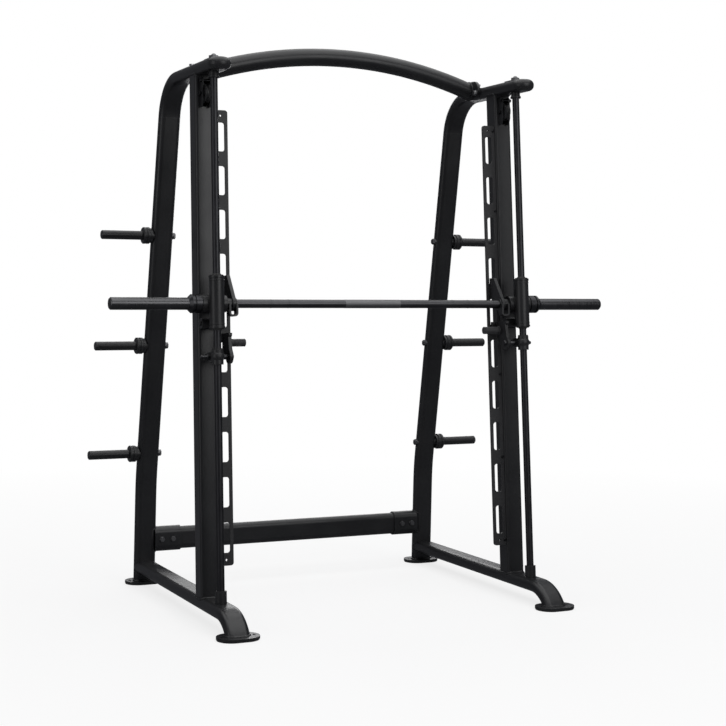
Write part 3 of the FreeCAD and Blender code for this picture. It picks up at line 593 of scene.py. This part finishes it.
def stop_handle(side):
    """Ribbed grip with a flange beside the lever and a flat end with a rounded edge."""
    node = "stop_handle_" + side
    low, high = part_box(node)
    centre = (low + high) / 2
    sign = SIDES[side]
    length = high.x - low.x
    flange = (high.z - low.z) / 2
    grip = flange - FLANGE_PROUD
    base = Vector((max(abs(low.x), abs(high.x)) * sign, centre.y, centre.z))
    profile = [
        (0.0, flange - 0.001), (0.001, flange), (0.005, flange), (0.006, flange - 0.001),
        (0.0065, grip - 0.002), (0.009, grip - 0.002),
    ]
    start = 0.0105
    stop = length - HANDLE_CORNER - 0.0005
    steps = RIB_STEPS * round((stop - start) / RIB_PITCH)
    for k in range(steps + 1):
        swell = math.cos(2 * math.pi * k / RIB_STEPS)
        profile.append((start + (stop - start) * k / steps, grip + RIB_DEPTH * (swell - 1) / 2))
    for k in range(1, CORNER_STEPS + 1):
        angle = math.radians(90 * k / CORNER_STEPS)
        turned_in = HANDLE_CORNER * (1 - math.cos(angle))
        profile.append((stop + HANDLE_CORNER * math.sin(angle), grip - turned_in))
    profile.append((stop + HANDLE_CORNER, grip * 0.5))
    profile.append((stop + HANDLE_CORNER - 0.001, grip * 0.42))
    profile.append((stop + HANDLE_CORNER - 0.001, 0.001))
    name = "handle_grip_" + side
    mesh = lathe_mesh(name, base, X_AXIS * -sign, profile, 64)
    made = piece(name, mesh, grip_plastic, "lever_" + side, smooth=60.0)
    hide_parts(node)


SHAFT_COLLAR_PROUD = 0.003
SHAFT_TIP_RADIUS = 0.008
SHAFT_TIP_LENGTH = 0.014
TIP_STEPS = 7
TIP_ARC = 84


def stop_shaft(side):
    """Cross shaft of a stop: chamfered inner end, a retaining collar outside the block and a rounded tip."""
    node = "stop_shaft_" + side
    low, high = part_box(node)
    sign = SIDES[side]
    radius = (high.z - low.z) / 2
    inner = min(abs(low.x), abs(high.x))
    length = high.x - low.x
    block_face = max(abs(v) for v in span("stop_block_" + side, X_AXIS)) - inner + 0.0004
    collar = radius + SHAFT_COLLAR_PROUD
    step = length - SHAFT_TIP_LENGTH
    end = length - SHAFT_TIP_RADIUS
    profile = [
        (0.0, radius - 0.0025), (0.0012, radius - 0.0006), (0.0024, radius), (block_face, radius),
        (block_face, collar - 0.0008), (block_face + 0.0008, collar), (block_face + 0.0072, collar),
        (block_face + 0.008, collar - 0.0008), (block_face + 0.008, radius), (step - 0.002, radius),
        (step, radius - 0.002), (step, SHAFT_TIP_RADIUS), (end, SHAFT_TIP_RADIUS),
    ]
    for k in range(1, TIP_STEPS + 1):
        angle = math.radians(TIP_ARC * k / TIP_STEPS)
        profile.append((end + SHAFT_TIP_RADIUS * math.sin(angle), SHAFT_TIP_RADIUS * math.cos(angle)))
    base = Vector((inner * sign, (low.y + high.y) / 2, (low.z + high.z) / 2))
    name = "cross_shaft_" + side
    mesh = lathe_mesh(name, base, X_AXIS * sign, profile)
    made = piece(name, mesh, shaft_steel, "lever_" + side)
    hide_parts(node)


for side in SIDES:
    stop_handle(side)
    stop_shaft(side)


# ---------------------------------------------------------------- racking plate bolts

BOLT_STEPS = 24
SHANK_RADIUS = 0.004
SOCKET_ACROSS = 0.005
SOCKET_DEEP = 0.0026
BUTTON_HEAD = ((0.0, 0.52), (0.0007, 0.78), (0.0019, 0.95), (0.0032, 1.0), (0.0044, 1.0))
HEAD_TALL = 0.0045
NUT_THICK = 0.0065
CHAMFER = 0.0008


def clusters(node, apart=0.06):
    """The vertices of each separate solid of a node whose solids stand well apart."""
    groups = []
    for vertex in nodes[node].data.vertices:
        for group in groups:
            if (vertex.co - group[0]).length < apart:
                group.append(vertex.co)
                break
        else:
            groups.append([vertex.co])
    return groups


def hex_radius(across, turn):
    """The distance from a hexagon's centre to its edge."""
    sixth = math.pi / 3
    return across / 2 / math.cos((turn + sixth / 2) % sixth - sixth / 2)


def bolt_mesh(name, head, axis, length, head_radius, nut_from):
    """A button-head bolt with a hexagon socket and its nut, from the head's face along axis."""
    across, up = frame_about(axis)
    nut_across = 2 * head_radius
    nut_end = nut_from + NUT_THICK
    rings = []

    def ring(distance, radius_at):
        base = head + axis * distance
        rings.append([
            base + (across * math.cos(turn) + up * math.sin(turn)) * radius_at(turn)
            for turn in turns(BOLT_STEPS)
        ])

    def round_ring(distance, radius):
        ring(distance, lambda turn: radius)

    def hex_ring(distance, wide):
        ring(distance, lambda turn: hex_radius(wide, turn))

    hex_ring(SOCKET_DEEP, SOCKET_ACROSS)
    hex_ring(0.0002, SOCKET_ACROSS)
    for distance, share in BUTTON_HEAD:
        round_ring(distance, head_radius * share)
    round_ring(HEAD_TALL, SHANK_RADIUS)
    round_ring(nut_from, SHANK_RADIUS)
    round_ring(nut_from, head_radius * 0.98)
    hex_ring(nut_from + 0.0006, nut_across)
    hex_ring(nut_end - CHAMFER, nut_across)
    round_ring(nut_end, head_radius * 0.95)
    round_ring(nut_end, SHANK_RADIUS)
    round_ring(length - CHAMFER, SHANK_RADIUS)
    round_ring(length, SHANK_RADIUS - CHAMFER)
    return tube_mesh(name, rings)


def plate_bolts():
    """The bolts that hold the racking plates to their lugs."""
    build = bmesh.new()
    lug_high = span("plate_lugs", mast_back)[1]
    for group in clusters("plate_bolts"):
        depth = [v.dot(mast_back) for v in group]
        wide = [v.x for v in group]
        tall = [v.dot(mast_up) for v in group]
        centre = X_AXIS * ((min(wide) + max(wide)) / 2) + mast_up * ((min(tall) + max(tall)) / 2)
        head = centre + mast_back * min(depth)
        length = max(depth) - min(depth)
        head_radius = (max(wide) - min(wide)) / 2 * math.cos(math.pi / 6)
        nut_from = lug_high - min(depth)
        mesh = bolt_mesh("bolt", head, mast_back, length, head_radius, nut_from)
        build.from_mesh(mesh)
        bpy.data.meshes.remove(mesh)
    whole = bpy.data.meshes.new("rack_bolts")
    build.to_mesh(whole)
    build.free()
    made = piece("rack_bolts", whole, black_oxide, "frame", smooth=35.0)
    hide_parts("plate_bolts")


plate_bolts()


# ---------------------------------------------------------------- camera, light and floor

CAMERA_PLACE = (-2.7121, -6.0253, 1.3165)
CAMERA_HEADING = 24.98
CAMERA_TILT_UP = 1.521
CAMERA_ROLL = 0.335
LENS_MM = 75.19
SHIFT_DOWN = 0.1543

camera_data = bpy.data.cameras.new("camera")
camera_data.lens = LENS_MM
camera_data.sensor_width = 36.0
camera_data.shift_y = -SHIFT_DOWN
camera = bpy.data.objects.new("camera", camera_data)
bpy.context.scene.collection.objects.link(camera)
turned = Matrix.Rotation(math.radians(-CAMERA_HEADING), 4, "Z")
tipped = Matrix.Rotation(math.radians(90 + CAMERA_TILT_UP), 4, "X")
rolled = Matrix.Rotation(math.radians(CAMERA_ROLL), 4, "Z")
camera.matrix_world = Matrix.Translation(CAMERA_PLACE) @ turned @ tipped @ rolled
bpy.context.scene.camera = camera


def soft_light(name, place, target, size, power):
    """A rectangular lamp that faces a target."""
    light = bpy.data.lights.new(name, "AREA")
    light.shape = "RECTANGLE"
    light.size, light.size_y = size
    light.energy = power
    holder = bpy.data.objects.new(name, light)
    bpy.context.scene.collection.objects.link(holder)
    holder.location = place
    holder.rotation_euler = (Vector(target) - Vector(place)).to_track_quat("-Z", "Y").to_euler()


soft_light("overhead", (0.0, 0.0, 5.6), (0, 0, 0), (8.0, 8.0), 330)
soft_light("front", (1.5, -5.5, 3.0), (0, 0, 1.0), (3.5, 3.0), 75)
soft_light("left", (-5.5, -1.5, 2.0), (0, 0, 1.0), (2.0, 3.5), 30)
soft_light("back", (2.0, 5.0, 2.6), (0, 0, 1.0), (3.0, 2.0), 60)

ROOM_COLOUR = (0.8, 0.82, 0.9, 1)
ROOM_STRENGTH = 0.14


def studio_world():
    """White behind the object for the camera, and a dim even room for everything else."""
    world = bpy.data.worlds.new("studio")
    bpy.context.scene.world = world
    world.use_nodes = True
    tree = world.node_tree
    backdrop = tree.nodes["Background"]
    backdrop.inputs["Color"].default_value = (1.0, 1.0, 1.0, 1)
    backdrop.inputs["Strength"].default_value = 1.0
    room = tree.nodes.new("ShaderNodeBackground")
    room.inputs["Color"].default_value = ROOM_COLOUR
    room.inputs["Strength"].default_value = ROOM_STRENGTH
    seen = tree.nodes.new("ShaderNodeLightPath")
    either = tree.nodes.new("ShaderNodeMixShader")
    tree.links.new(seen.outputs["Is Camera Ray"], either.inputs[0])
    tree.links.new(room.outputs[0], either.inputs[1])
    tree.links.new(backdrop.outputs[0], either.inputs[2])
    tree.links.new(either.outputs[0], tree.nodes["World Output"].inputs["Surface"])


FLOOR_SIZE = 400.0
GLOW_AT_CENTRE = 0.78
GLOW_FULL_AT = 5.0


def studio_floor():
    """A plain pale floor that takes a soft shadow and runs into the white behind it."""
    bpy.ops.mesh.primitive_grid_add(x_subdivisions=4, y_subdivisions=4, size=FLOOR_SIZE, location=(0, 0, 0))
    floor = bpy.context.object
    floor.name = "floor"
    floor.visible_glossy = False
    paint = Surface("floor_paint", (0.86, 0.86, 0.86), 0.85, specular=0.2)
    tint = paint.blend(paint.noise(1.5, 4.0), (0.85, 0.85, 0.85), (0.88, 0.88, 0.88))
    floor.data.materials.append(paint.finish(tint))
    distance = paint.node("ShaderNodeVectorMath", {0: paint.place}, operation="LENGTH").outputs["Value"]
    share = paint.between(distance, 1.0, GLOW_FULL_AT, GLOW_AT_CENTRE, 1.0)
    seen = paint.node("ShaderNodeLightPath").outputs["Is Camera Ray"]
    glow = paint.node("ShaderNodeEmission", {"Color": (1, 1, 1, 1), "Strength": 1.0}).outputs[0]
    mixed = paint.node("ShaderNodeMixShader", {
        0: paint.sums("MULTIPLY", share, seen), 1: paint.shader.outputs[0], 2: glow,
    }).outputs[0]
    paint.tree.links.new(mixed, paint.tree.nodes["Material Output"].inputs["Surface"])


studio_world()
studio_floor()

bpy.context.scene.view_settings.view_transform = "Standard"
bpy.context.scene.view_settings.look = "None"
